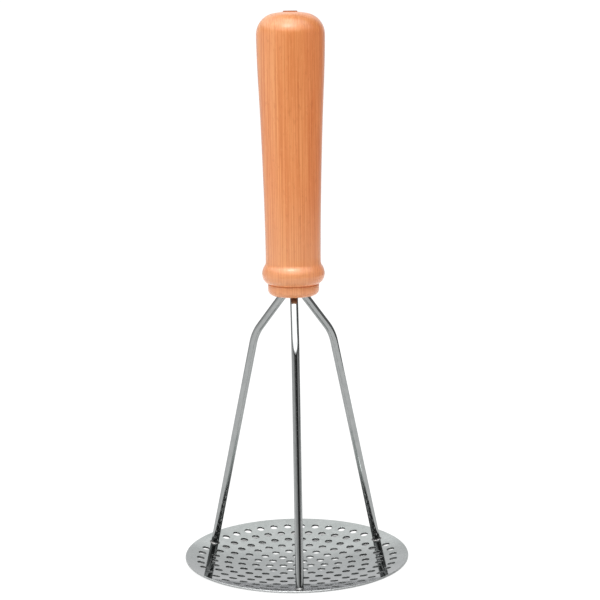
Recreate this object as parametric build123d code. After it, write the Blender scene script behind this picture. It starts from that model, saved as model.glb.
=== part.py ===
from build123d import *
import os
from math import asin, atan2, cos, degrees, radians, sin, sqrt, tan

# Hand masher: a turned beech handle, three bent wire legs and a dished, perforated steel disc.
# Frame: +Z up along the handle, origin at the centre of the disc's underside, where it rests.
# All sizes are in millimetres and all angles in degrees.

# Mashing disc
DISC_R = 50.0
SHEET = 0.9
DISH_DEPTH = 6.1
FLAT_R = 5.0
RIM_ROUND = 0.2
HOLE_R = 1.75
RING_PITCH = 6.2
FULL_RINGS = 6
OUTER_GROUP_HOLES = 12
OUTER_GROUP_STEP = 8.75

# Wire legs
WIRE_R = 1.75
LEG_AZIMUTHS = {"front": -90.0, "right": 30.0, "left": 150.0}
FOOT_R = 43.4
BEND_Z = 106.2
BEND_RADIUS = 20.0
TANG_R = 4.4
TANG_LENGTH = 38.0
MOUTH_BEND_RISE = 0.7
MOUTH_BEND_RADIUS = 6.0
WIRE_END_CHAMFER = 0.3

# Weld bead round each foot
WELD_WIDTH = 1.0
WELD_HEIGHT = 1.0
WELD_EDGE = 0.1
WELD_FULLNESS = 0.75

# Turned handle, heights above its lower end face
HANDLE_Z = 124.85
HANDLE_LENGTH = 122.35
COLLAR_R = 11.25
COLLAR_ROUND = 2.7
COLLAR_TOP = 4.85
GROOVE = 5.1
GROOVE_R = 10.9
BEAD_FOOT = 5.35
BEAD_FOOT_R = 11.5
BEAD_CREST = 9.4
BEAD_CREST_R = 13.72
BEAD_TOP = 13.55
BEAD_TOP_R = 12.28
NECK = 14.6
NECK_R = 12.02
GRIP_POINTS = [(12.42, 43.2), (13.44, 76.2), (14.42, 98.6)]
GRIP_MAX_R = 14.73
CORNER_RADIUS = 9.2
CROWN_RADIUS = 38.0
NUB_R = 3.1
NUB_HEIGHT = 0.3
NUB_ROUND = 0.2

# Blind bores for the legs' tangs
BORE_CLEARANCE = 0.05
BORE_DEPTH = 39.0
MOUTH_R = 2.95
MOUTH_DEPTH = 3.2

UPWARDS = (Align.CENTER, Align.CENTER, Align.MIN)

# The dish's upper surface is a circular arc, tangent to the flat middle and turned about Z.
DISH_ARC_R = ((DISC_R - FLAT_R) ** 2 + DISH_DEPTH**2) / (2 * DISH_DEPTH)
DISH_CENTRE_Z = SHEET + DISH_ARC_R


def dish_slope(radius):
    """Slope of the dish at a distance from the axis, measured on its upper surface."""
    return degrees(asin(max(radius - FLAT_R, 0.0) / DISH_ARC_R))


def dish_height(radius):
    """Height of the dish's upper surface at a distance from the axis."""
    return DISH_CENTRE_Z - DISH_ARC_R * cos(radians(dish_slope(radius)))


def on_dish(radius, azimuth):
    """A place on the upper surface, whose Z is the surface's normal."""
    place = Rot(0, 0, azimuth) * Pos(radius, 0, dish_height(radius))
    return place * Rot(0, -dish_slope(radius), 0)


def xz(radius, height):
    """A point of a half section, which is drawn in the XZ plane."""
    return (radius, 0, height)


def turned(edges):
    """Turn a closed half section once about Z."""
    return revolve(make_face(Wire(edges)), axis=Axis.Z, revolution_arc=360)


def dish_blank():
    """The disc before it is perforated, with its rim cut square to the sheet."""
    slope = radians(dish_slope(DISC_R))
    upper_rim = xz(DISC_R, dish_height(DISC_R))
    lower_rim = xz(DISC_R + SHEET * sin(slope), dish_height(DISC_R) - SHEET * cos(slope))
    section = make_face(
        Wire(
            [
                Line(xz(0, 0), xz(FLAT_R, 0)),
                TangentArc(xz(FLAT_R, 0), lower_rim, tangent=(1, 0, 0)),
                Line(lower_rim, upper_rim),
                TangentArc(xz(FLAT_R, SHEET), upper_rim, tangent=(1, 0, 0)),
                Line(xz(FLAT_R, SHEET), xz(0, SHEET)),
                Line(xz(0, SHEET), xz(0, 0)),
            ]
        )
    )
    rim_corners = section.vertices().sort_by(Axis.X)[-2:]
    section = fillet(rim_corners, RIM_ROUND)
    return revolve(section, axis=Axis.Z, revolution_arc=360)


def hole_places():
    """Radius and azimuth of every hole: the middle one, the full rings and the outer groups."""
    places = [(0.0, 0.0)]
    for ring in range(1, FULL_RINGS + 1):
        count = 6 * ring
        step = 360 / count
        stagger = step / 2 if ring % 2 else 0.0
        places += [(ring * RING_PITCH, 90 + stagger + step * i) for i in range(count)]
    outer_r = (FULL_RINGS + 1) * RING_PITCH
    half_group = OUTER_GROUP_STEP * (OUTER_GROUP_HOLES - 1) / 2
    for leg_azimuth in LEG_AZIMUTHS.values():
        first = leg_azimuth + 180 - half_group
        places += [(outer_r, first + OUTER_GROUP_STEP * i) for i in range(OUTER_GROUP_HOLES)]
    return places


def mashing_disc(blank):
    """The dished disc with its holes, each punched square to the sheet."""
    punch = Pos(0, 0, -SHEET / 2) * Cylinder(HOLE_R, 3 * SHEET)
    return blank - [on_dish(radius, azimuth) * punch for radius, azimuth in hole_places()]


def leg_path():
    """The wire's centre line: foot, main bend, bend at the mouth of the bore, top of the tang."""
    slope = radians(dish_slope(FOOT_R))
    # The square-cut end is lifted until its edge, not its middle, meets the hollow surface.
    lift = WIRE_R**2 / (2 * DISH_ARC_R)
    foot_r = FOOT_R - lift * sin(slope)
    foot_z = dish_height(FOOT_R) + lift * cos(slope)
    bend_r = foot_r - (BEND_Z - foot_z) * tan(slope)
    corners = [
        xz(foot_r, foot_z),
        xz(bend_r, BEND_Z),
        xz(TANG_R, HANDLE_Z + MOUTH_BEND_RISE),
        xz(TANG_R, HANDLE_Z + TANG_LENGTH),
    ]
    return FilletPolyline(*corners, radius=[BEND_RADIUS, MOUTH_BEND_RADIUS])


def wire_leg(azimuth):
    """One leg, bent from one wire, standing square to the dish and ending in a straight tang."""
    path = leg_path()
    section = Plane(origin=path @ 0, z_dir=path % 0) * Circle(WIRE_R)
    wire = sweep(section, path=path)
    tang_end = wire.faces().sort_by(Axis.Z)[-1]
    return Rot(0, 0, azimuth) * chamfer(tang_end.edges(), WIRE_END_CHAMFER)


def foot_weld(azimuth, blank):
    """The bead of weld metal round one foot, cut to the dish that it lies on."""
    outer = WIRE_R + WELD_WIDTH
    sunk = -WELD_HEIGHT / 4
    crest = xz(WIRE_R + WELD_FULLNESS * WELD_WIDTH, WELD_FULLNESS * WELD_HEIGHT)
    ring = turned(
        [
            Line(xz(WIRE_R, sunk), xz(outer, sunk)),
            Line(xz(outer, sunk), xz(outer, WELD_EDGE)),
            ThreePointArc(xz(outer, WELD_EDGE), crest, xz(WIRE_R, WELD_HEIGHT)),
            Line(xz(WIRE_R, WELD_HEIGHT), xz(WIRE_R, sunk)),
        ]
    )
    return on_dish(FOOT_R, azimuth) * ring - blank


def crown_meets_corner():
    """Radius and height of the point where the crown's arc runs into the corner's arc."""
    centre_z = HANDLE_LENGTH - CROWN_RADIUS
    corner_centre_r = GRIP_MAX_R - CORNER_RADIUS
    rise = sqrt((CROWN_RADIUS - CORNER_RADIUS) ** 2 - corner_centre_r**2)
    angle = atan2(rise, corner_centre_r)
    meet = (CROWN_RADIUS * cos(angle), centre_z + CROWN_RADIUS * sin(angle))
    return meet, centre_z + rise


def handle_blank():
    """The turned handle before it is bored: collar, groove, bead, swelling grip, crown and nub."""
    (meet_r, meet_z), shoulder_z = crown_meets_corner()
    crest = xz(BEAD_CREST_R, BEAD_CREST)
    shoulder = xz(GRIP_MAX_R, shoulder_z)
    grip = [xz(NECK_R, NECK)] + [xz(*point) for point in GRIP_POINTS] + [shoulder]
    up = (0, 0, 1)
    down = (0, 0, -1)
    outwards = (1, 0, 0)
    body = turned(
        [
            Line(xz(0, 0), xz(COLLAR_R - COLLAR_ROUND, 0)),
            TangentArc(xz(COLLAR_R - COLLAR_ROUND, 0), xz(COLLAR_R, COLLAR_ROUND), tangent=outwards),
            Line(xz(COLLAR_R, COLLAR_ROUND), xz(COLLAR_R, COLLAR_TOP)),
            Line(xz(COLLAR_R, COLLAR_TOP), xz(GROOVE_R, GROOVE)),
            Line(xz(GROOVE_R, GROOVE), xz(BEAD_FOOT_R, BEAD_FOOT)),
            TangentArc(crest, xz(BEAD_FOOT_R, BEAD_FOOT), tangent=down),
            TangentArc(crest, xz(BEAD_TOP_R, BEAD_TOP), tangent=up),
            Line(xz(BEAD_TOP_R, BEAD_TOP), xz(NECK_R, NECK)),
            Spline(*grip, tangents=[up, up]),
            TangentArc(shoulder, xz(meet_r, meet_z), tangent=up),
            TangentArc(xz(0, HANDLE_LENGTH), xz(meet_r, meet_z), tangent=outwards),
            Line(xz(0, HANDLE_LENGTH), xz(0, 0)),
        ]
    )
    nub = Pos(0, 0, HANDLE_LENGTH - NUB_HEIGHT) * Cylinder(NUB_R, 2 * NUB_HEIGHT, align=UPWARDS)
    nub = fillet(nub.edges().group_by(Axis.Z)[-1], NUB_ROUND)
    return Pos(0, 0, HANDLE_Z) * (body + nub)


def handle():
    """The handle with three blind bores, each with a countersunk mouth for the bend of its leg."""
    bore_r = WIRE_R + BORE_CLEARANCE
    bore = Cylinder(bore_r, BORE_DEPTH, align=UPWARDS)
    mouth = Cone(MOUTH_R, bore_r, MOUTH_DEPTH, align=UPWARDS)
    cutter = Pos(TANG_R, 0, HANDLE_Z) * (bore + mouth)
    return handle_blank() - [Rot(0, 0, azimuth) * cutter for azimuth in LEG_AZIMUTHS.values()]


def main():
    """Build every piece and write one STEP file for each."""
    blank = dish_blank()
    pieces = {"handle": handle(), "mashing_disc": mashing_disc(blank)}
    for side, azimuth in LEG_AZIMUTHS.items():
        pieces[f"leg_{side}"] = wire_leg(azimuth)
        pieces[f"foot_weld_{side}"] = foot_weld(azimuth, blank)
    os.makedirs("parts", exist_ok=True)
    for name, piece in pieces.items():
        export_step(piece, f"parts/{name}.step")


main()
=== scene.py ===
from math import asin, atan2, cos, degrees, hypot, pi, radians, sin, sqrt, tan

import bmesh
import bpy
from mathutils import Matrix, Vector, noise
from mathutils.geometry import delaunay_2d_cdt


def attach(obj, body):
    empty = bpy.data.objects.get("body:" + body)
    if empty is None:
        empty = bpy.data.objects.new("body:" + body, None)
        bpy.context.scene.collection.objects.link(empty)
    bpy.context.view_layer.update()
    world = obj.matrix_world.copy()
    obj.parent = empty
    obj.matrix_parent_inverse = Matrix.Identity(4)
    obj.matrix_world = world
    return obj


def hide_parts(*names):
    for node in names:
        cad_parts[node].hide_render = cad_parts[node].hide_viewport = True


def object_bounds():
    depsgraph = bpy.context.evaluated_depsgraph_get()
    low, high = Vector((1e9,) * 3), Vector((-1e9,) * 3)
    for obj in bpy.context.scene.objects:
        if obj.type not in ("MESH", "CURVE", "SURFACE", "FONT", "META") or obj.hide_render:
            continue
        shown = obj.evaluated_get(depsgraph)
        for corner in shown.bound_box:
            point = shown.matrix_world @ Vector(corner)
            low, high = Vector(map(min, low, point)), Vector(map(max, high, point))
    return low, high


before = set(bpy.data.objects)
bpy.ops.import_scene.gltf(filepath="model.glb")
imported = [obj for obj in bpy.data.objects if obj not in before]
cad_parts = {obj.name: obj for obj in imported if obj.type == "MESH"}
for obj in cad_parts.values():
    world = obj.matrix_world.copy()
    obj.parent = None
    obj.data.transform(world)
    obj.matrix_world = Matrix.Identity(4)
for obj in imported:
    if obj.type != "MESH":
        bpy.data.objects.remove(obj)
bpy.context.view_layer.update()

# A potato masher: a turned beech handle, three bent wire legs welded to a dished, perforated disc.
# Shapes are worked out in millimetres, in the frame of the CAD model, and new_piece() turns them
# into metres. Lights, floor and camera are in metres. Angles in the constants are in degrees.
MM_PER_METRE = 1000

# Mashing disc
DISC_R = 50.0
SHEET = 0.9
DISH_DEPTH = 6.1
FLAT_R = 5.0
RIM_ROUND = 0.2
HOLE_R = 1.75
HOLE_ROUND = 0.1
RING_PITCH = 6.2
FULL_RINGS = 6
OUTER_GROUP_HOLES = 12
OUTER_GROUP_STEP = 8.75

# Wire legs
WIRE_R = 1.75
LEG_AZIMUTHS = {"front": -90.0, "right": 30.0, "left": 150.0}
FOOT_R = 43.4
BEND_Z = 106.2
BEND_RADIUS = 20.0
TANG_R = 4.4
TANG_LENGTH = 38.0
MOUTH_BEND_RISE = 0.7
MOUTH_BEND_RADIUS = 6.0
WIRE_END_CHAMFER = 0.3

# Weld bead round each foot
WELD_WIDTH = 1.0
WELD_HEIGHT = 1.0
WELD_SUNK = 0.08
WELD_HOLLOW = 1.3
WELD_RIPPLES = 11
WELD_RIPPLE = 0.09
WELD_WAVER_R = 2.0

# Turned handle, heights above its lower end face
HANDLE_Z = 124.85
HANDLE_LENGTH = 122.35
COLLAR_R = 11.25
COLLAR_ROUND = 2.7
COLLAR_TOP = 4.85
COLLAR_TOP_ROUND = 0.15
GROOVE = 5.1
GROOVE_R = 10.9
BEAD_FOOT = 5.35
BEAD_FOOT_R = 11.5
BEAD_CREST = 9.4
BEAD_CREST_R = 13.72
BEAD_TOP = 13.55
BEAD_TOP_R = 12.28
NECK = 14.6
NECK_R = 12.02
GRIP_POINTS = [(12.42, 43.2), (13.44, 76.2), (14.42, 98.6)]
GRIP_MAX_R = 14.73
CORNER_RADIUS = 9.2
CROWN_RADIUS = 38.0
NUB_R = 3.1
NUB_HEIGHT = 0.3
NUB_ROUND = 0.2

# Blind bores for the legs' tangs
BORE_R = WIRE_R + 0.05
BORE_DEPTH = 39.0
MOUTH_R = 2.95
MOUTH_DEPTH = 3.2

# How finely the meshes are cut: steps round a ring, degrees in an arc and millimetres along a run
HANDLE_SEGMENTS = 144
MOUTH_SEGMENTS = 40
HOLE_SEGMENTS = 36
RIM_SEGMENTS = 288
WIRE_SEGMENTS = 48
WELD_SEGMENTS = 132
ARC_STEP = 6.0
BEND_STEP = 3.0
GRIP_STEP = 3.0
FILL_SPACING = 2.0
FILL_CLEARANCE = 0.8
SAME_POINT = 1e-6

# The dish's upper surface is a circular arc, tangent to the flat middle and turned about Z.
DISH_ARC_R = ((DISC_R - FLAT_R) ** 2 + DISH_DEPTH**2) / (2 * DISH_DEPTH)

# The disc's materials, by their numbers in its mesh
FACE_OF_SHEET = 0
PUNCHED_WALL = 1
TRIMMED_RIM = 2

# Camera: where it stands round the object, and how it is held
CAMERA_DISTANCE = 0.6833
CAMERA_HEIGHT = 0.2402
CAMERA_SWING = 1.3
CAMERA_PITCH = 9.77
CAMERA_ROLL = 0.72
CAMERA_LENS = 94.78
CAMERA_SHIFT = 0.0104
CAMERA_NEAR = 0.01


# Meshes ----------------------------------------------------------------------------------------


class Skin:
    """The points and faces of one piece while it is being made, in millimetres."""

    def __init__(self):
        self.points = []
        self.normals = []
        self.faces = []
        self.kinds = []
        self.places = []

    def add(self, point, normal=None, place=None):
        """Add one point and give its number."""
        self.points.append(Vector(point))
        self.normals.append(normal)
        self.places.append(place)
        return len(self.points) - 1

    def face(self, corners, kind=0):
        """Add one face; kind is the number of its material."""
        self.faces.append(corners)
        self.kinds.append(kind)

    def band(self, ring, other, kind=0):
        """Join two closed rings of the same number of points with four-sided faces."""
        for i in range(len(ring)):
            j = (i + 1) % len(ring)
            self.face((ring[i], ring[j], other[j], other[i]), kind)

    def bands(self, rings, kind=0):
        """Join each ring to the next one."""
        for ring, other in zip(rings, rings[1:]):
            self.band(ring, other, kind)

    def fan(self, ring, centre):
        """Close a ring with triangles to one point."""
        for i in range(len(ring)):
            self.face((ring[i], ring[(i + 1) % len(ring)], centre))


def new_piece(name, skin, materials, sharp_angle=None):
    """Make the mesh object, in metres, riding on the body and standing for its CAD node."""
    mesh = bpy.data.meshes.new(name)
    points = [[value / MM_PER_METRE for value in point] for point in skin.points]
    mesh.from_pydata(points, [], skin.faces)
    mesh.polygons.foreach_set("material_index", skin.kinds)
    mesh.polygons.foreach_set("use_smooth", [True] * len(skin.faces))
    work = bmesh.new()
    work.from_mesh(mesh)
    bmesh.ops.recalc_face_normals(work, faces=work.faces)
    work.to_mesh(mesh)
    work.free()
    for material in materials:
        mesh.materials.append(material)
    if skin.places[0] is not None:
        straightened = mesh.attributes.new("straightened", "FLOAT_VECTOR", "POINT")
        straightened.data.foreach_set("vector", [value for place in skin.places for value in place])
    if skin.normals[0] is not None:
        mesh.normals_split_custom_set_from_vertices(skin.normals)
    if sharp_angle is not None:
        mesh.set_sharp_from_angle(angle=radians(sharp_angle))
    piece = bpy.data.objects.new(f"{name}_visual", mesh)
    bpy.context.scene.collection.objects.link(piece)
    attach(piece, "root")
    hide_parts(name)
    return piece


def turn_angles(count):
    """Evenly spaced angles once round, in radians."""
    return [2 * pi * i / count for i in range(count)]


def arc_points(centre, radius, start, end, step=ARC_STEP):
    """Points on an arc of a half section, between two angles in degrees."""
    count = max(2, round(abs(end - start) / step))
    angles = [radians(start + (end - start) * i / count) for i in range(count + 1)]
    return [(centre[0] + radius * cos(a), centre[1] + radius * sin(a)) for a in angles]


def equal_loops(count, size):
    """Closed loops of the same size that follow each other in a list of points."""
    return [range(i * size, (i + 1) * size) for i in range(count)]


def triangulated(points, loops):
    """Triangles between points, leaving out those inside the closed, convex loops."""
    loop_of = {}
    for number, loop in enumerate(loops):
        loop_of.update({point: number for point in loop})
    flat = [Vector((point[0], point[1])) for point in points]
    _, _, faces, origins, _, _ = delaunay_2d_cdt(flat, [], [], 0, SAME_POINT, True)
    sources = [numbers[0] for numbers in origins]
    triangles = [tuple(sources[corner] for corner in face) for face in faces]
    kept = []
    for triangle in triangles:
        owners = {loop_of.get(corner, -1 - corner) for corner in triangle}
        if len(owners) > 1:
            kept.append(triangle)
    return kept


# The dish --------------------------------------------------------------------------------------


def dish_slope(radius):
    """Slope of the dish at a distance from the axis, in radians."""
    return asin(max(radius - FLAT_R, 0.0) / DISH_ARC_R)


def dish_height(radius):
    """Height of the dish's upper surface at a distance from the axis."""
    return SHEET + DISH_ARC_R * (1 - cos(dish_slope(radius)))


def dish_normal(x, y):
    """Upward normal of the dish's upper surface over a point of the plan."""
    radius = hypot(x, y)
    if radius < FLAT_R:
        return Vector((0, 0, 1))
    slope = dish_slope(radius)
    return Vector((-sin(slope) * x / radius, -sin(slope) * y / radius, cos(slope)))


def dish_point(x, y):
    """The point of the dish's upper surface over a point of the plan."""
    return Vector((x, y, dish_height(hypot(x, y))))


def dish_frame(radius, azimuth):
    """Origin, outward tangent, sideways tangent and normal at a place on the dish."""
    turn = radians(azimuth)
    slope = dish_slope(radius)
    outward = Vector((cos(turn) * cos(slope), sin(turn) * cos(slope), sin(slope)))
    sideways = Vector((-sin(turn), cos(turn), 0))
    origin = dish_point(radius * cos(turn), radius * sin(turn))
    return origin, outward, sideways, outward.cross(sideways)


# Mashing disc ----------------------------------------------------------------------------------


def hole_places():
    """Radius and azimuth of every hole: the middle one, the full rings and the outer groups."""
    places = [(0.0, 0.0)]
    for ring in range(1, FULL_RINGS + 1):
        count = 6 * ring
        step = 360 / count
        stagger = step / 2 if ring % 2 else 0.0
        places += [(ring * RING_PITCH, 90 + stagger + step * i) for i in range(count)]
    outer_r = (FULL_RINGS + 1) * RING_PITCH
    half_group = OUTER_GROUP_STEP * (OUTER_GROUP_HOLES - 1) / 2
    for leg_azimuth in LEG_AZIMUTHS.values():
        first = leg_azimuth + 180 - half_group
        places += [(outer_r, first + OUTER_GROUP_STEP * i) for i in range(OUTER_GROUP_HOLES)]
    return places


def cut_edge(rounding):
    """Rows down a cut: distance back from it, depth in the sheet, slant of the normal in radians."""
    slants = [0, pi / 4, pi / 2]
    upper = [(rounding * (1 - sin(a)), rounding * (1 - cos(a)), a) for a in slants]
    lower = [(back, SHEET - depth, pi - a) for back, depth, a in reversed(upper)]
    return upper + lower


def hole_rings(skin, radius, azimuth):
    """The rings of points down one hole, which is punched square to the sheet."""
    origin, outward, sideways, normal = dish_frame(radius, azimuth)
    rings = []
    for back, depth, slant in cut_edge(HOLE_ROUND):
        ring = []
        for angle in turn_angles(HOLE_SEGMENTS):
            away = outward * cos(angle) + sideways * sin(angle)
            over = origin + away * (HOLE_R + back)
            top = dish_point(over.x, over.y)
            slanted = dish_normal(over.x, over.y) * cos(slant) - away * sin(slant)
            ring.append(skin.add(top - normal * depth, slanted))
        rings.append(ring)
    return rings


def rim_rings(skin):
    """The rings of points down the disc's rim, which is cut square to the sheet."""
    rings = []
    for back, depth, slant in cut_edge(RIM_ROUND):
        ring = []
        for angle in turn_angles(RIM_SEGMENTS):
            origin, outward, _, normal = dish_frame(DISC_R, degrees(angle))
            slanted = normal * cos(slant) + outward * sin(slant)
            ring.append(skin.add(origin - outward * back - normal * depth, slanted))
        rings.append(ring)
    return rings


def fill_points(centres):
    """Points of the plan between the holes and on two circles inside the rim."""
    inner_r = (FULL_RINGS + 1) * RING_PITCH + HOLE_R + FILL_CLEARANCE
    filled = []
    for radius in (inner_r, (inner_r + DISC_R) / 2):
        angles = turn_angles(RIM_SEGMENTS // 2)
        filled += [(radius * cos(a), radius * sin(a)) for a in angles]
    rows = int(inner_r / FILL_SPACING) + 1
    nearest = HOLE_R + FILL_CLEARANCE
    for row in range(-rows, rows + 1):
        for column in range(-rows, rows + 1):
            x = (column + 0.5 * (row % 2)) * FILL_SPACING
            y = row * FILL_SPACING * sqrt(3) / 2
            inside = hypot(x, y) < inner_r - FILL_CLEARANCE
            if inside and all(hypot(x - a, y - b) > nearest for a, b in centres):
                filled.append((x, y))
    return filled


def cut_through(skin, rings, kind):
    """The faces down one cut: rounded edges of the sheet's own material, and a wall of another."""
    skin.bands(rings[:2], FACE_OF_SHEET)
    skin.bands(rings[1:-1], kind)
    skin.bands(rings[-2:], FACE_OF_SHEET)


def make_mashing_disc(sheet_steel, punched_steel, trimmed_steel):
    """The dished disc: two faces of the sheet, the rim and the wall of every hole."""
    skin = Skin()
    holes = [hole_rings(skin, radius, azimuth) for radius, azimuth in hole_places()]
    rim = rim_rings(skin)
    spots = [(r * cos(radians(a)), r * sin(radians(a))) for r, a in hole_places()]
    upper = [point for rings in holes for point in rings[0]] + rim[0]
    lower = [point for rings in holes for point in rings[-1]] + rim[-1]
    for x, y in fill_points(spots):
        normal = dish_normal(x, y)
        upper.append(skin.add(dish_point(x, y), normal))
        lower.append(skin.add(dish_point(x, y) - normal * SHEET, -normal))
    plan = [skin.points[number] for number in upper]
    for triangle in triangulated(plan, equal_loops(len(holes), HOLE_SEGMENTS)):
        skin.face([upper[corner] for corner in triangle])
        skin.face([lower[corner] for corner in reversed(triangle)])
    for rings in holes:
        cut_through(skin, rings, PUNCHED_WALL)
    cut_through(skin, rim, TRIMMED_RIM)
    return new_piece("mashing_disc", skin, [sheet_steel, punched_steel, trimmed_steel])


# Wire legs -------------------------------------------------------------------------------------


def bend_rows(before, corner, after, radius):
    """Points and headings round one bend of the wire's centre line, in the leg's own plane."""
    arriving = (corner - before).normalized()
    leaving = (after - corner).normalized()
    turn = arriving.angle_signed(leaving)
    reach = radius * tan(abs(turn) / 2)
    count = max(3, round(degrees(abs(turn)) / BEND_STEP))
    start = corner - arriving * reach
    side = 1 if turn < 0 else -1
    centre = start + Vector((-arriving.y, arriving.x)) * radius * side
    rows = []
    for i in range(count + 1):
        part = Matrix.Rotation(-turn * i / count, 2)
        rows.append((centre + part @ (start - centre), part @ arriving))
    return rows


def leg_rows():
    """The wire's centre line from the foot to the end of the tang: radius and height, heading."""
    slope = dish_slope(FOOT_R)
    # The square-cut end is lifted until its edge, not its middle, meets the hollow surface.
    lift = WIRE_R**2 / (2 * DISH_ARC_R)
    foot = Vector((FOOT_R - lift * sin(slope), dish_height(FOOT_R) + lift * cos(slope)))
    bend = Vector((foot.x - (BEND_Z - foot.y) * tan(slope), BEND_Z))
    mouth = Vector((TANG_R, HANDLE_Z + MOUTH_BEND_RISE))
    end = Vector((TANG_R, HANDLE_Z + TANG_LENGTH))
    rows = [(foot, (bend - foot).normalized())]
    rows += bend_rows(foot, bend, mouth, BEND_RADIUS)
    rows += bend_rows(bend, mouth, end, MOUTH_BEND_RADIUS)
    rows.append((end - Vector((0, WIRE_END_CHAMFER)), Vector((0, 1))))
    return rows


def make_leg(side, wire_steel):
    """One leg: the wire's round section carried along its centre line, with closed ends.

    Each point also keeps its place on the straightened wire, which the drawn lines follow.
    """
    skin = Skin()
    turn = radians(LEG_AZIMUTHS[side])
    outward = Vector((cos(turn), sin(turn), 0))
    sideways = Vector((-sin(turn), cos(turn), 0))
    up = Vector((0, 0, 1))
    centre_line = leg_rows()
    end, heading = centre_line[-1]
    tip = end + heading * WIRE_END_CHAMFER
    rows = [(centre, heading, WIRE_R) for centre, heading in centre_line]
    rows.append((tip, heading, WIRE_R - WIRE_END_CHAMFER))
    rings = []
    run = 0.0
    previous = rows[0][0]
    for centre, heading, radius in rows:
        run += (centre - previous).length
        previous = centre
        middle = outward * centre.x + up * centre.y
        across = outward * heading.y - up * heading.x
        ring = []
        for angle in turn_angles(WIRE_SEGMENTS):
            away = across * cos(angle) + sideways * sin(angle)
            place = (radius * cos(angle), radius * sin(angle), run)
            ring.append(skin.add(middle + away * radius, place=place))
        rings.append(ring)
    skin.bands(rings)
    foot = rows[0][0]
    skin.fan(rings[0], skin.add(outward * foot.x + up * foot.y, place=(0, 0, 0)))
    skin.fan(rings[-1], skin.add(outward * tip.x + up * tip.y, place=(0, 0, run)))
    return new_piece(f"leg_{side}", skin, [wire_steel], sharp_angle=30)


def make_foot_weld(side, weld_steel):
    """The bead of weld metal round one foot, laid in overlapping ripples on the dish."""
    skin = Skin()
    origin, outward, sideways, normal = dish_frame(FOOT_R, LEG_AZIMUTHS[side])
    inner = WIRE_R - WELD_SUNK
    section = arc_points((0, 0), 1.0, 90, 0, step=15)
    rings = [[] for _ in range(len(section) + 2)]
    for angle in turn_angles(WELD_SEGMENTS):
        away = outward * cos(angle) + sideways * sin(angle)
        waver = noise.noise(origin + away * WELD_WAVER_R)
        swell = abs(sin(angle * WELD_RIPPLES / 2)) - 1 + 0.5 * waver
        width = WELD_WIDTH + WELD_RIPPLE * swell
        height = WELD_HEIGHT + WELD_RIPPLE * (swell + waver)
        rows = [(inner, -WELD_SUNK), (inner, height)]
        for across, up in section:
            reach = WIRE_R + width * (1 - up) ** WELD_HOLLOW
            rows.append((reach, height * (1 - across) ** WELD_HOLLOW))
        rows[-1] = (WIRE_R + width, -WELD_SUNK)
        for ring, (reach, rise) in zip(rings, rows):
            ring.append(skin.add(origin + away * reach + normal * rise))
    skin.bands(rings + rings[:1])
    return new_piece(f"foot_weld_{side}", skin, [weld_steel], sharp_angle=50)


# Turned handle ---------------------------------------------------------------------------------


def arc_to_crest(radius, height):
    """Radius of the bead's arc between its crest and another point, and the angle that it turns."""
    inwards = BEAD_CREST_R - radius
    along = height - BEAD_CREST
    arc_radius = (inwards**2 + along**2) / (2 * inwards)
    return arc_radius, degrees(asin(along / arc_radius))


def bead_points():
    """The bead's outline: a fuller arc below its crest and a tighter one above."""
    low_r, low_angle = arc_to_crest(BEAD_FOOT_R, BEAD_FOOT)
    high_r, high_angle = arc_to_crest(BEAD_TOP_R, BEAD_TOP)
    lower = arc_points((BEAD_CREST_R - low_r, BEAD_CREST), low_r, low_angle, 0)
    upper = arc_points((BEAD_CREST_R - high_r, BEAD_CREST), high_r, 0, high_angle)
    return lower + upper[1:]


def grip_points(shoulder_z):
    """The swelling grip: cubic curves through its few points, upright at both ends."""
    knots = [(NECK_R, NECK)] + GRIP_POINTS + [(GRIP_MAX_R, shoulder_z)]
    leans = [0.0]
    for before, after in zip(knots, knots[2:]):
        leans.append((after[0] - before[0]) / (after[1] - before[1]))
    leans.append(0.0)
    points = []
    for (r0, z0), (r1, z1), lean0, lean1 in zip(knots, knots[1:], leans, leans[1:]):
        span = z1 - z0
        count = max(2, round(span / GRIP_STEP))
        for t in [i / count for i in range(count)]:
            start = (2 * t**3 - 3 * t**2 + 1) * r0 + (t**3 - 2 * t**2 + t) * span * lean0
            end = (3 * t**2 - 2 * t**3) * r1 + (t**3 - t**2) * span * lean1
            points.append((start + end, z0 + span * t))
    return points


def top_points():
    """The rounded corner, the shallow crown and the small turned nub, and the corner's foot."""
    crown_z = HANDLE_LENGTH - CROWN_RADIUS
    corner_r = GRIP_MAX_R - CORNER_RADIUS
    rise = sqrt((CROWN_RADIUS - CORNER_RADIUS) ** 2 - corner_r**2)
    meeting = degrees(atan2(rise, corner_r))
    nub_angle = 90 - degrees(asin(NUB_R / CROWN_RADIUS))
    nub_z = HANDLE_LENGTH + NUB_HEIGHT - NUB_ROUND
    points = arc_points((corner_r, crown_z + rise), CORNER_RADIUS, 0, meeting, step=4)
    points += arc_points((0, crown_z), CROWN_RADIUS, meeting, nub_angle, step=4)[1:]
    points += arc_points((NUB_R - NUB_ROUND, nub_z), NUB_ROUND, 0, 90, step=30)
    points.append((NUB_R / 2, HANDLE_LENGTH + NUB_HEIGHT))
    return points, crown_z + rise


def handle_profile():
    """The handle's half section, from the edge of its lower end face to the top of the nub."""
    top, shoulder_z = top_points()
    profile = arc_points((COLLAR_R - COLLAR_ROUND, COLLAR_ROUND), COLLAR_ROUND, -90, 0, step=9)
    edge = (COLLAR_R - COLLAR_TOP_ROUND, COLLAR_TOP - COLLAR_TOP_ROUND)
    profile += arc_points(edge, COLLAR_TOP_ROUND, 0, 60, step=20)
    profile.append((GROOVE_R, GROOVE))
    profile += bead_points()
    profile.append(((BEAD_TOP_R + NECK_R) / 2, (BEAD_TOP + NECK) / 2))
    profile += grip_points(shoulder_z)
    return profile + top


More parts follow.
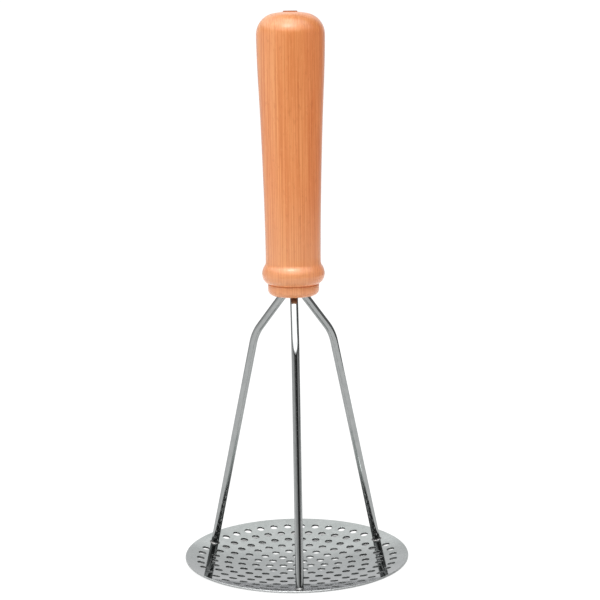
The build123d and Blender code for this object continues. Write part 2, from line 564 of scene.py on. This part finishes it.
def bore_rings(skin, azimuth):
    """The rings of points up one blind bore, from its countersunk mouth to its closed end."""
    turn = radians(azimuth)
    rows = [(MOUTH_R, 0), (BORE_R, MOUTH_DEPTH), (BORE_R, BORE_DEPTH)]
    rings = []
    for radius, height in rows:
        ring = []
        for angle in turn_angles(MOUTH_SEGMENTS):
            x = TANG_R * cos(turn) + radius * cos(angle)
            y = TANG_R * sin(turn) + radius * sin(angle)
            ring.append(skin.add((x, y, HANDLE_Z + height)))
        rings.append(ring)
    return rings


def make_handle(beech):
    """The turned handle, with its lower end face pierced by the three bores."""
    skin = Skin()
    rings = []
    for radius, height in handle_profile():
        angles = turn_angles(HANDLE_SEGMENTS)
        ring = [skin.add((radius * cos(a), radius * sin(a), HANDLE_Z + height)) for a in angles]
        rings.append(ring)
    skin.bands(rings)
    skin.fan(rings[-1], skin.add((0, 0, HANDLE_Z + HANDLE_LENGTH + NUB_HEIGHT)))
    bores = [bore_rings(skin, azimuth) for azimuth in LEG_AZIMUTHS.values()]
    end_face = [point for bore in bores for point in bore[0]] + rings[0]
    plan = [skin.points[number] for number in end_face]
    for triangle in triangulated(plan, equal_loops(len(bores), MOUTH_SEGMENTS)):
        skin.face([end_face[corner] for corner in triangle])
    for bore, azimuth in zip(bores, LEG_AZIMUTHS.values()):
        skin.bands(bore)
        x = TANG_R * cos(radians(azimuth))
        y = TANG_R * sin(radians(azimuth))
        skin.fan(bore[-1], skin.add((x, y, HANDLE_Z + BORE_DEPTH)))
    return new_piece("handle", skin, [beech], sharp_angle=32)


# Materials -------------------------------------------------------------------------------------

# Wood, as linear red, green, blue and alpha
PALE_BEECH = (0.81, 0.302, 0.107, 1.0)
WARM_BEECH = (0.75, 0.245, 0.076, 1.0)
LATE_BEECH = (0.60, 0.162, 0.043, 1.0)
LIGHT_BEECH = (0.87, 0.40, 0.148, 1.0)
RAY_BEECH = (0.50, 0.128, 0.036, 1.0)
# Painted shade for the lower end, its bores and the nub
SHADE_DARK_BEECH = (0.16, 0.050, 0.020, 1.0)
# Tints painted over the wood: a sheen low down, shade on its right, less red on the lit crown
SHEEN_PALE_BEECH = (0.77, 0.44, 0.26, 1.0)
SHADE_REDDENED = (1.0, 0.84, 0.76, 1.0)
RED_CUT = (0.93, 1.0, 1.0, 1.0)

# Effects on the wood: the value where each starts, the value where it is full, and its share there.
# Those of the wood's figure follow noise.
STRIPE_DARK = (0.50, 0.62, 0.46)
STRIPE_LIGHT = (0.50, 0.38, 0.46)
FIBRE_DARK = (0.52, 0.72, 0.40)
FIBRE_LIGHT = (0.46, 0.28, 0.35)
RAY_DARK = (0.58, 0.72, 0.24)
RAY_LIGHT = (0.42, 0.30, 0.20)

# Those of its place follow a height, or a distance from the trunk's middle or the handle's axis.
# Painted shade: redder and darker towards the trunk's middle, on the handle's shaded right
RIGHT_SHADE_REDDENING = (97.0, 81.0, 0.9)
# Painted sheen: paler towards the lower end
LOW_SHEEN_PALING = (HANDLE_Z + 55, HANDLE_Z + 8, 0.45)
# Less red near the top, which tones down the brightly lit crown
CROWN_RED_CUT = (HANDLE_Z + 113, HANDLE_Z + 118, 1.0)
# Painted shade: the lower end up past the bores, and the nub's edge
END_SHADE = (COLLAR_R - 1.2, COLLAR_R - 2.8, 1.0)
BORES_PASSED = (HANDLE_Z + 60, HANDLE_Z + 50, 1.0)
NUB_SHADE = (HANDLE_Z + HANDLE_LENGTH - 0.13, HANDLE_Z + HANDLE_LENGTH - 0.05, 1.0)

# Growth rings: the trunk's middle lies far to the handle's right, and each year's ring wanders
PITH_X = 92.0
PITH_Y = 14.0
RING_WIDTH = 2.1
RING_WANDER = 9.0
LATE_SHARE = 0.12

# Steel; a glance is its tint where it is seen at a grazing angle
BRIGHT_WIRE = (0.31, 0.320, 0.318, 1.0)
RUBBED_WIRE = (0.27, 0.280, 0.279, 1.0)
DRAWN_LINE = (0.22, 0.228, 0.23, 1.0)
WIRE_GLANCE = (0.62, 0.63, 0.63, 1.0)
PALE_SHEET = (0.385, 0.409, 0.401, 1.0)
DEEP_SHEET = (0.345, 0.37, 0.362, 1.0)
BRIGHT_RUB = (0.50, 0.525, 0.52, 1.0)
DULL_RUB = (0.27, 0.29, 0.285, 1.0)
SHEET_GLANCE = (0.95, 0.94, 0.96, 1.0)
# Hole walls: torn steel, painted very dark, partly as the shade inside the holes
DARK_TEAR = (0.06, 0.063, 0.063, 1.0)
PALE_TEAR = (0.13, 0.135, 0.135, 1.0)
PALE_TRIM = (0.42, 0.43, 0.43, 1.0)
DEEP_TRIM = (0.30, 0.31, 0.31, 1.0)
PALE_WELD = (0.20, 0.204, 0.204, 1.0)
DARK_WELD = (0.12, 0.12, 0.12, 1.0)
WELD_BLOOM = (0.18, 0.15, 0.13, 1.0)


def add(tree, kind, settings=None, inputs=None):
    """Add a shader node; an input that is another node's socket is linked."""
    made = tree.nodes.new("ShaderNode" + kind)
    for name, value in (settings or {}).items():
        setattr(made, name, value)
    for name, value in (inputs or {}).items():
        if isinstance(value, bpy.types.NodeSocket):
            tree.links.new(value, made.inputs[name])
        else:
            made.inputs[name].default_value = value
    return made


def maths(tree, operation, *values):
    """The result of a maths node."""
    made = add(tree, "Math", {"operation": operation}, dict(enumerate(values)))
    return made.outputs[0]


def product(tree, value, *factors):
    """A value multiplied by each factor in turn."""
    for factor in factors:
        value = maths(tree, "MULTIPLY", value, factor)
    return value


def ranged(tree, value, low, high, to_low=0.0, to_high=1.0):
    """A value carried smoothly from one range to another."""
    inputs = {"Value": value, "From Min": low, "From Max": high, "To Min": to_low, "To Max": to_high}
    made = add(tree, "MapRange", {"interpolation_type": "SMOOTHSTEP"}, inputs)
    return made.outputs["Result"]


def mixed(tree, factor, colour, other, blend="MIX"):
    """Two colours mixed by a factor."""
    settings = {"data_type": "RGBA", "blend_type": blend}
    made = add(tree, "Mix", settings, {0: factor, 6: colour, 7: other})
    return made.outputs[2]


def scaled(tree, vector, scale):
    """A vector scaled along each axis."""
    return add(tree, "Mapping", {}, {"Vector": vector, "Scale": scale}).outputs["Vector"]


def length(tree, vector):
    """The length of a vector."""
    return add(tree, "VectorMath", {"operation": "LENGTH"}, {0: vector}).outputs["Value"]


def noise_at(tree, vector, scale, detail=2.0, roughness=0.5):
    """Noise read at a vector, from 0 to 1; the scale is one number, or one along each axis."""
    if isinstance(scale, tuple):
        vector = scaled(tree, vector, scale)
        scale = 1.0
    inputs = {"Vector": vector, "Scale": scale, "Detail": detail, "Roughness": roughness}
    return add(tree, "TexNoise", {}, inputs).outputs["Fac"]


def ramp(tree, value, stops):
    """A grey that follows a value smoothly through a few stops: the value and its brightness."""
    made = add(tree, "ValToRGB", {}, {"Fac": value})
    made.color_ramp.interpolation = "EASE"
    band = made.color_ramp.elements
    band[0].position = stops[0][0]
    band[1].position = stops[-1][0]
    for position, _ in stops[1:-1]:
        band.new(position)
    for element, (_, brightness) in zip(band, stops):
        element.color = grey(brightness)
    return made.outputs["Color"]


def bumped(tree, height, distance, strength):
    """The normal of a surface raised by a height, at most by a distance in metres."""
    inputs = {"Height": height, "Distance": distance, "Strength": strength}
    return add(tree, "Bump", {}, inputs).outputs["Normal"]


def grey(brightness):
    """A colour socket's value for a neutral grey."""
    return (brightness, brightness, brightness, 1.0)


def new_material(name):
    """A material with its node tree and its surface shader."""
    material = bpy.data.materials.new(name)
    material.use_nodes = True
    return material, material.node_tree, material.node_tree.nodes["Principled BSDF"]


def connect(tree, surface, sockets):
    """Set or link the surface shader's sockets."""
    for name, value in sockets.items():
        if isinstance(value, bpy.types.NodeSocket):
            tree.links.new(value, surface.inputs[name])
        else:
            surface.inputs[name].default_value = value


def millimetres(tree):
    """The place on the object, in millimetres."""
    place = add(tree, "TexCoord").outputs["Object"]
    return scaled(tree, place, (MM_PER_METRE, MM_PER_METRE, MM_PER_METRE))


def about_pith(tree, place):
    """Turn round the trunk's middle, height, and distance from that middle."""
    inputs = {"Vector": place, "Location": (-PITH_X, -PITH_Y, 0.0)}
    from_pith = add(tree, "Mapping", {}, inputs).outputs["Vector"]
    split = add(tree, "SeparateXYZ", {}, {0: from_pith})
    turn = maths(tree, "ARCTAN2", split.outputs["Y"], split.outputs["X"])
    distance = length(tree, scaled(tree, from_pith, (1, 1, 0)))
    return turn, split.outputs["Z"], distance


def latewood_bands(tree, place, distance):
    """How far each place lies into the darker wood at the end of its year's ring."""
    wander = noise_at(tree, place, (0.05, 0.05, 0.012))
    wandered = maths(tree, "MULTIPLY_ADD", wander, RING_WANDER, distance)
    phase = maths(tree, "FRACT", maths(tree, "DIVIDE", wandered, RING_WIDTH))
    # The band deepens through each year, and fades early in the next.
    late = ranged(tree, phase, 0.15, 0.98)
    late = product(tree, late, ranged(tree, phase, 1.0, 0.985))
    return maths(tree, "ADD", late, ranged(tree, phase, 0.0, 0.12, 1.0, 0.0))


def share(tree, value, effect):
    """How far an effect goes at a value: not at all where it starts, and its share where it is full."""
    start, full, most = effect
    return ranged(tree, value, start, full, 0.0, most)


def figured(tree, colour, grain, darkening, dark, lightening):
    """A colour darkened where a grain is high and lightened where it is low."""
    colour = mixed(tree, share(tree, grain, darkening), colour, dark)
    return mixed(tree, share(tree, grain, lightening), colour, LIGHT_BEECH)


def bare_and_shaded_wood(tree, place, height):
    """Where the lacquer is left off and shade is painted dark: the lower end, the bores in it and the
    crown's nub.
    """
    from_axis = length(tree, scaled(tree, place, (1, 1, 0)))
    lower_end = product(tree, share(tree, from_axis, END_SHADE), share(tree, height, BORES_PASSED))
    return maths(tree, "MAXIMUM", lower_end, share(tree, height, NUB_SHADE))


def beech_figure(tree, place, late, stripes, fibres, rays):
    """The colour of the wood's figure: clouds, growth rings, stripes, fibres and rays."""
    clouds = noise_at(tree, place, (0.12, 0.12, 0.02), 3.0)
    colour = mixed(tree, ranged(tree, clouds, 0.3, 0.7), PALE_BEECH, WARM_BEECH)
    colour = mixed(tree, late, colour, LATE_BEECH)
    colour = figured(tree, colour, stripes, STRIPE_DARK, LATE_BEECH, STRIPE_LIGHT)
    colour = figured(tree, colour, fibres, FIBRE_DARK, LATE_BEECH, FIBRE_LIGHT)
    return figured(tree, colour, rays, RAY_DARK, RAY_BEECH, RAY_LIGHT)


def varied(tree, colour, height, distance):
    """The wood's colour as it changes over the handle.

    Towards the trunk's middle, on its shaded right side, it is painted redder and darker as shade.
    Towards the lower end it pales, as a painted sheen. Near the top it is a little less red, which
    tones down the brightly lit crown.
    """
    colour = mixed(tree, share(tree, distance, RIGHT_SHADE_REDDENING), colour, SHADE_REDDENED, "MULTIPLY")
    sheened = mixed(tree, 0.5, colour, SHEEN_PALE_BEECH)
    colour = mixed(tree, share(tree, height, LOW_SHEEN_PALING), colour, sheened)
    return mixed(tree, share(tree, height, CROWN_RED_CUT), colour, RED_CUT, "MULTIPLY")


def beech_material():
    """Lacquered beech: growth rings, fine long fibres and the dashes of the wood's rays."""
    material, tree, surface = new_material("beech")
    place = millimetres(tree)
    turn, height, distance = about_pith(tree, place)
    across_rays = add(tree, "CombineXYZ", {}, {0: turn, 1: height, 2: distance}).outputs["Vector"]
    rays = noise_at(tree, across_rays, (125.0, 0.3, 0.9), 2.0, 0.6)
    stripes = noise_at(tree, place, (3.6, 0.3, 0.008), 1.0, 0.6)
    fibres = noise_at(tree, place, (4.5, 1.2, 0.07), 3.0, 0.6)
    late = product(tree, latewood_bands(tree, place, distance), LATE_SHARE)
    colour = beech_figure(tree, place, late, stripes, fibres, rays)
    colour = varied(tree, colour, height, distance)
    # Painted shade: the lower end, its bores and the nub are darkened as if they lay in shadow.
    bare_and_shaded = bare_and_shaded_wood(tree, place, height)
    colour = mixed(tree, bare_and_shaded, colour, mixed(tree, fibres, SHADE_DARK_BEECH, RAY_BEECH))
    relief = maths(tree, "ADD", fibres, stripes)
    connect(tree, surface, {
        "Base Color": colour,
        "Roughness": ranged(tree, fibres, 0.3, 0.7, 0.40, 0.52),
        "Specular IOR Level": 0.2,
        "Normal": bumped(tree, relief, 0.00004, 0.5),
        "Coat Weight": maths(tree, "MULTIPLY_ADD", bare_and_shaded, -0.75, 0.75),
        "Coat Roughness": 0.23,
        "Coat Normal": bumped(tree, relief, 0.00003, 0.5),
    })
    return material


def wire_material():
    """Bright drawn wire: fine lines along the wire, a few rubs and a slight waviness."""
    material, tree, surface = new_material("leg_chrome")
    place = add(tree, "Attribute", {"attribute_name": "straightened"}).outputs["Vector"]
    drawn = noise_at(tree, place, (5.0, 5.0, 0.05), 4.0, 0.6)
    rubs = noise_at(tree, place, (0.9, 0.9, 0.35), 5.0, 0.65)
    tone = mixed(tree, ranged(tree, rubs, 0.35, 0.7), BRIGHT_WIRE, RUBBED_WIRE)
    tone = mixed(tree, ranged(tree, drawn, 0.55, 0.75, 0.0, 0.3), tone, DRAWN_LINE)
    relief = maths(tree, "ADD", drawn, product(tree, rubs, 2.0))
    connect(tree, surface, {
        "Base Color": tone,
        "Metallic": 1.0,
        "Roughness": ranged(tree, rubs, 0.3, 0.7, 0.05, 0.12),
        "Specular Tint": WIRE_GLANCE,
        "Normal": bumped(tree, relief, 0.000012, 0.35),
    })
    return material


def sheet_material():
    """Bright rolled sheet: faint lines across it, small bright and dull rubs, and soft clouds."""
    material, tree, surface = new_material("disc_steel")
    place = millimetres(tree)
    rolled = noise_at(tree, place, (0.06, 3.5, 0.5), 4.0, 0.6)
    rubs = noise_at(tree, place, 0.9, 6.0, 0.75)
    clouds = noise_at(tree, place, 0.12, 3.0)
    tone = mixed(tree, ranged(tree, clouds, 0.3, 0.7), PALE_SHEET, DEEP_SHEET)
    tone = mixed(tree, ranged(tree, rubs, 0.50, 0.66, 0.0, 0.5), tone, BRIGHT_RUB)
    tone = mixed(tree, ranged(tree, rubs, 0.48, 0.34, 0.0, 0.5), tone, DULL_RUB)
    relief = maths(tree, "ADD", rolled, product(tree, rubs, 0.8))
    connect(tree, surface, {
        "Base Color": tone,
        "Metallic": 1.0,
        "Roughness": ranged(tree, rolled, 0.3, 0.7, 0.04, 0.10),
        "Specular Tint": SHEET_GLANCE,
        "Normal": bumped(tree, relief, 0.000010, 0.3),
    })
    return material


def punched_material():
    """The torn, dull wall that a punch leaves in the sheet, with lines down through it; its very dark
    tone is partly painted shade.
    """
    material, tree, surface = new_material("punched_edge")
    place = millimetres(tree)
    torn = noise_at(tree, place, (4.0, 4.0, 0.8), 4.0, 0.7)
    tone = mixed(tree, ranged(tree, torn, 0.3, 0.7), DARK_TEAR, PALE_TEAR)
    connect(tree, surface, {
        "Base Color": tone,
        "Metallic": 1.0,
        "Roughness": ranged(tree, torn, 0.3, 0.7, 0.32, 0.5),
        "Normal": bumped(tree, torn, 0.00005, 0.6),
    })
    return material


def trimmed_material():
    """The rim's satin edge, trimmed with fine lines down through the sheet."""
    material, tree, surface = new_material("trimmed_edge")
    place = millimetres(tree)
    shorn = noise_at(tree, place, (2.5, 2.5, 0.6), 4.0, 0.6)
    tone = mixed(tree, ranged(tree, shorn, 0.3, 0.7), PALE_TRIM, DEEP_TRIM)
    connect(tree, surface, {
        "Base Color": tone,
        "Metallic": 1.0,
        "Roughness": ranged(tree, shorn, 0.3, 0.7, 0.34, 0.46),
        "Normal": bumped(tree, shorn, 0.00002, 0.4),
    })
    return material


def weld_material():
    """Weld metal: duller than the wire, lightly scaled, with a faint brown bloom in patches."""
    material, tree, surface = new_material("weld_metal")
    place = millimetres(tree)
    scale = noise_at(tree, place, 1.7, 5.0, 0.7)
    bloom = noise_at(tree, place, 0.8, 2.0)
    tone = mixed(tree, ranged(tree, scale, 0.35, 0.65), PALE_WELD, DARK_WELD)
    tone = mixed(tree, ranged(tree, bloom, 0.5, 0.75, 0.0, 0.5), tone, WELD_BLOOM)
    connect(tree, surface, {
        "Base Color": tone,
        "Metallic": 1.0,
        "Roughness": ranged(tree, scale, 0.3, 0.7, 0.32, 0.50),
        "Normal": bumped(tree, scale, 0.00006, 0.5),
    })
    return material


# Studio ----------------------------------------------------------------------------------------

# Floor and lights, in metres
FLOOR_RADIUS = 0.9
FLOOR_GAP = 0.0001
LIGHT_AIM = (0, 0, 0.16)

# The painted shadow on the floor, in millimetres: its place, its shape and its edge
SHADOW_PATCH_BACK = 10.0
SHADOW_PATCH_NARROWING = 0.85
SHADOW_PATCH_EDGE = (37.0, 43.0)

# The floor's glow from the middle of the patch outwards, as shares of the disc's radius: a painted
# bright spot under the disc's middle, painted shadow round it and a bright floor beyond
FLOOR_GLOW_AND_SHADOW = [
    (0.0, 0.85), (0.24, 0.85), (0.44, 0.28), (0.58, 0.10), (0.72, 0.12), (0.86, 0.97), (1.0, 0.97),
]

# What the object sees round it: brightness against the turn round the object, where 0 and 1 are the
# camera's side, 0.25 is to the object's left, 0.5 straight behind it and 0.75 to its right
BELOW_HORIZON = [
    (0.0, 0.05), (0.13, 0.06), (0.19, 1.1), (0.30, 1.0), (0.36, 0.7), (0.42, 0.68), (0.58, 0.68),
    (0.64, 0.25), (0.72, 0.08), (0.80, 0.08), (0.87, 0.06), (1.0, 0.05),
]
ABOVE_HORIZON = [
    (0.0, 0.10), (0.06, 0.75), (0.19, 0.95), (0.30, 0.85), (0.36, 0.6), (0.42, 0.87), (0.58, 0.87),
    (0.64, 0.30), (0.72, 0.20), (0.78, 0.50), (0.83, 0.75), (0.89, 0.06), (0.96, 0.04), (1.0, 0.10),
]
WALLS = [
    (0.0, 0.05), (0.13, 0.06), (0.20, 0.40), (0.30, 0.25), (0.36, 0.22), (0.42, 0.93), (0.58, 0.93),
    (0.64, 0.15), (0.72, 0.12), (0.80, 0.16), (0.87, 0.06), (1.0, 0.05),
]
PANEL = [
    (0.0, 1.0), (0.08, 0.9), (0.18, 0.5), (0.36, 0.4), (0.40, 0.0),
    (0.74, 0.0), (0.78, 0.4), (0.88, 0.4), (0.94, 0.9), (1.0, 1.0),
]

# Heights over which each of these begins, as the upward part of a direction
HORIZON = (-0.03, 0.03)
WALLS_BEGIN = (0.14, 0.28)
WALLS_BRIGHTEN = (0.36, 0.52)
PANEL_BEGINS = (0.28, 0.52)
STRIP_BEGINS = (0.64, 0.74)
CEILING_BEGINS = (0.72, 0.85)

# Where the strip and the panel end, by parts of a direction; the strip only fades to the right
STRIP_BACK_EDGE = (0.08, -0.06)
STRIP_NEAR_EDGE = (-0.75, -0.6)
STRIP_FADE = (0.8, 0.4, 0.2, 1.0)
PANEL_CORNER_X = (0.4, 0.8)
PANEL_CORNER_Z = (0.68, 0.78)

# Brightness
HIGH_WALLS_GAIN = 1.4
CEILING_GLOW = 0.5
STRIP_GLOW = 2.4
PANEL_GLOW = 5.5
BACKDROP_GLOW = 1.05


def floor_material():
    """A pale, glowing floor with painted shadow under the disc, a little to the back, and a painted
    bright middle.
    """
    material, tree, surface = new_material("studio_floor")
    place = millimetres(tree)
    inputs = {"Vector": place, "Location": (0, -SHADOW_PATCH_BACK, 0), "Scale": (SHADOW_PATCH_NARROWING, 1, 1)}
    away = length(tree, add(tree, "Mapping", {}, inputs).outputs["Vector"])
    glow = ramp(tree, maths(tree, "DIVIDE", away, DISC_R), FLOOR_GLOW_AND_SHADOW)
    grain = noise_at(tree, place, 0.02, 3.0)
    near = mixed(tree, grain, grey(0.48), grey(0.52))
    far = mixed(tree, grain, grey(0.10), grey(0.14))
    connect(tree, surface, {
        "Base Color": mixed(tree, ranged(tree, away, *SHADOW_PATCH_EDGE), near, far),
        "Roughness": 0.9,
        "Specular IOR Level": 0.0,
        "Emission Color": glow,
        "Emission Strength": 1.0,
    })
    return material


def make_floor():
    """A flat floor just under the object, as wide as the studio's table."""
    work = bmesh.new()
    bmesh.ops.create_circle(work, cap_ends=True, segments=96, radius=FLOOR_RADIUS)
    bmesh.ops.translate(work, verts=work.verts, vec=(0, 0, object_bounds()[0].z - FLOOR_GAP))
    mesh = bpy.data.meshes.new("studio_floor")
    work.to_mesh(mesh)
    work.free()
    mesh.materials.append(floor_material())
    floor = bpy.data.objects.new("studio_floor", mesh)
    bpy.context.scene.collection.objects.link(floor)


def all_round(tree, turn, z):
    """The studio's own brightness all round, from below the horizon up to its ceiling."""
    below = ramp(tree, turn, BELOW_HORIZON)
    above = ramp(tree, turn, ABOVE_HORIZON)
    studio = mixed(tree, ranged(tree, z, *HORIZON), below, above)
    studio = mixed(tree, ranged(tree, z, *WALLS_BEGIN), studio, ramp(tree, turn, WALLS))
    gain = ranged(tree, z, *WALLS_BRIGHTEN, 1.0, HIGH_WALLS_GAIN)
    studio = mixed(tree, 1.0, studio, gain, "MULTIPLY")
    return mixed(tree, ranged(tree, z, *CEILING_BEGINS), studio, grey(CEILING_GLOW))


def overhead_strip(tree, x, y, z):
    """Where a bright strip hangs: overhead, towards the camera, and fading to the right."""
    back_edge = ranged(tree, y, *STRIP_BACK_EDGE)
    near_edge = ranged(tree, y, *STRIP_NEAR_EDGE)
    fade = ranged(tree, x, *STRIP_FADE)
    return product(tree, back_edge, near_edge, ranged(tree, z, *STRIP_BEGINS), fade)


def panel_over_camera(tree, turn, x, z, glossy_depth):
    """A wide panel, seen only in the first reflection, that stops short of the upper right."""
    first = maths(tree, "COMPARE", glossy_depth, 1.0, 0.5)
    upper_right = product(tree, ranged(tree, x, *PANEL_CORNER_X), ranged(tree, z, *PANEL_CORNER_Z))
    kept = maths(tree, "SUBTRACT", 1.0, upper_right)
    glow = product(tree, first, PANEL_GLOW)
    return product(tree, ramp(tree, turn, PANEL), glow, ranged(tree, z, *PANEL_BEGINS), kept)


def make_surroundings():
    """The studio as the object sees it in every direction, and the backdrop as the camera sees it."""
    world = bpy.data.worlds.new("studio")
    world.use_nodes = True
    tree = world.node_tree
    towards = add(tree, "SeparateXYZ", {}, {0: add(tree, "TexCoord").outputs["Generated"]})
    x, y, z = towards.outputs
    turn = maths(tree, "MULTIPLY_ADD", maths(tree, "ARCTAN2", x, y), 1 / (2 * pi), 0.5)
    path = add(tree, "LightPath")
    studio = all_round(tree, turn, z)
    studio = mixed(tree, overhead_strip(tree, x, y, z), studio, grey(STRIP_GLOW))
    panel = panel_over_camera(tree, turn, x, z, path.outputs["Glossy Depth"])
    studio = mixed(tree, 1.0, studio, panel, "ADD")
    studio = mixed(tree, path.outputs["Is Camera Ray"], studio, grey(BACKDROP_GLOW))
    tree.links.new(studio, tree.nodes["Background"].inputs["Color"])
    bpy.context.scene.world = world


def make_light(name, azimuth, elevation, distance, size, energy, glossy):
    """A soft box aimed at the handle; azimuth 0 is over the camera, and 90 is to its right."""
    turn = radians(azimuth)
    rise = radians(elevation)
    away = Vector((sin(turn) * cos(rise), -cos(turn) * cos(rise), sin(rise)))
    lamp = bpy.data.lights.new(name, "AREA")
    lamp.shape = "RECTANGLE"
    lamp.size = size[0]
    lamp.size_y = size[1]
    lamp.energy = energy
    light = bpy.data.objects.new(name, lamp)
    light.location = Vector(LIGHT_AIM) + away * distance
    light.rotation_mode = "QUATERNION"
    light.rotation_quaternion = away.to_track_quat("Z", "Y")
    light.visible_glossy = glossy
    bpy.context.scene.collection.objects.link(light)


def make_camera():
    """The camera, a little left of the front and looking slightly down."""
    swing = radians(CAMERA_SWING)
    camera = bpy.data.objects.new("camera", bpy.data.cameras.new("camera"))
    camera.location = (-CAMERA_DISTANCE * sin(swing), -CAMERA_DISTANCE * cos(swing), CAMERA_HEIGHT)
    facing = Matrix.Rotation(-swing, 3, "Z") @ Matrix.Rotation(radians(90 - CAMERA_PITCH), 3, "X")
    facing = facing @ Matrix.Rotation(-radians(CAMERA_ROLL), 3, "Z")
    camera.rotation_euler = facing.to_euler()
    camera.data.lens = CAMERA_LENS
    camera.data.shift_x = CAMERA_SHIFT
    camera.data.clip_start = CAMERA_NEAR
    bpy.context.scene.collection.objects.link(camera)
    bpy.context.scene.camera = camera


def main():
    """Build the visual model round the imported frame, and the studio round that."""
    make_handle(beech_material())
    make_mashing_disc(sheet_material(), punched_material(), trimmed_material())
    wire = wire_material()
    weld = weld_material()
    for side in LEG_AZIMUTHS:
        make_leg(side, wire)
        make_foot_weld(side, weld)
    make_floor()
    make_surroundings()
    make_light("key", -12, 50, distance=0.9, size=(0.36, 0.18), energy=2.15, glossy=True)
    make_light("left_fill", -60, 25, distance=1.2, size=(0.8, 0.8), energy=1.9, glossy=False)
    make_light("right_fill", 60, 25, distance=1.2, size=(0.8, 0.8), energy=1.9, glossy=False)
    make_camera()
    bpy.context.scene.view_settings.view_transform = "Standard"


main()
